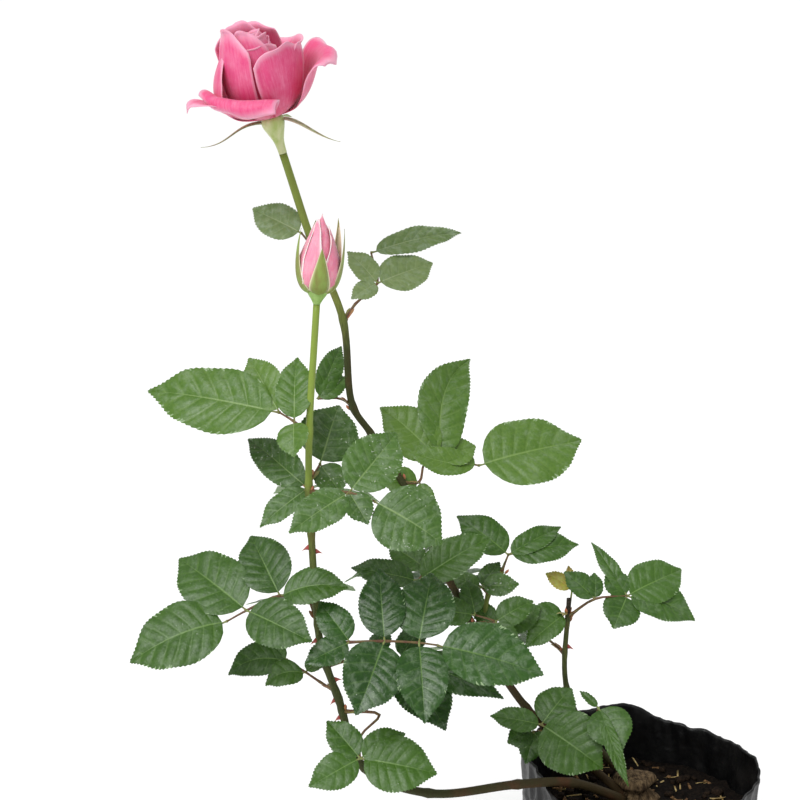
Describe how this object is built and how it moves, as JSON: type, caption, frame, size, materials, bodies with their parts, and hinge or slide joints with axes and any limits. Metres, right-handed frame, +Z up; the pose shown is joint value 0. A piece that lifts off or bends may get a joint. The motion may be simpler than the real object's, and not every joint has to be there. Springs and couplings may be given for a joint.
{
  "type": "potted rose bush",
  "caption": "Young rose bush with arching thorny canes, toothed compound leaves, a pink bloom and a bud, rooted in soil in a soft black grow bag",
  "frame": {"origin": "centre of the bag's flat underside, where it stands on the ground", "axes": "+Z up; the canes lean towards -X, and the open bloom is at the -X side; -Y is the side the leaves face"},
  "size_m": [0.406, 0.2459, 0.6624],
  "materials": {
    "leaves": "semi-glossy leaf, dark green above and paler below",
    "petals": "velvety pink petal",
    "canes": "smooth green to brown rose bark",
    "crown_bark": "rough old bark",
    "polythene": "soft black polythene film",
    "potting_soil": "moist bark-based compost"
  },
  "bodies": {
    "root": {"grow_bag": "polythene", "potting_soil": "potting_soil", "root_crown": "crown_bark", "flower_cane_foot": "canes", "flower_cane": "canes", "bud_cane_foot": "canes", "bud_cane": "canes", "pruned_cane": "canes", "side_shoot": "canes", "crest_leaf": "leaves", "upper_right_leaf": "leaves", "behind_bud_leaf": "leaves", "upper_left_leaf": "leaves", "bud_node_leaf": "leaves", "bud_right_leaf": "leaves", "bud_left_leaf": "leaves", "right_fork_leaf": "leaves", "low_left_leaf": "leaves", "foot_left_leaf": "leaves", "middle_right_leaf": "leaves", "middle_back_leaf": "leaves", "fork_top_leaf": "leaves", "fork_side_leaf": "leaves", "fork_low_leaf": "leaves", "pruned_left_leaf": "leaves", "pruned_right_leaf": "leaves", "low_right_leaf": "leaves", "rim_leaf": "leaves", "bottom_leaf": "leaves", "young_shoot": "leaves", "under_middle_leaf": "leaves", "under_fork_leaf": "leaves", "rim_left_leaf": "leaves", "far_leaf_1": "leaves", "far_leaf_2": "leaves", "far_leaf_3": "leaves", "far_leaf_4": "leaves", "far_leaf_5": "leaves", "far_leaf_6": "leaves", "far_leaf_7": "leaves", "open_bloom": "petals", "opening_bud": "petals"}
  },
  "joints": []
}
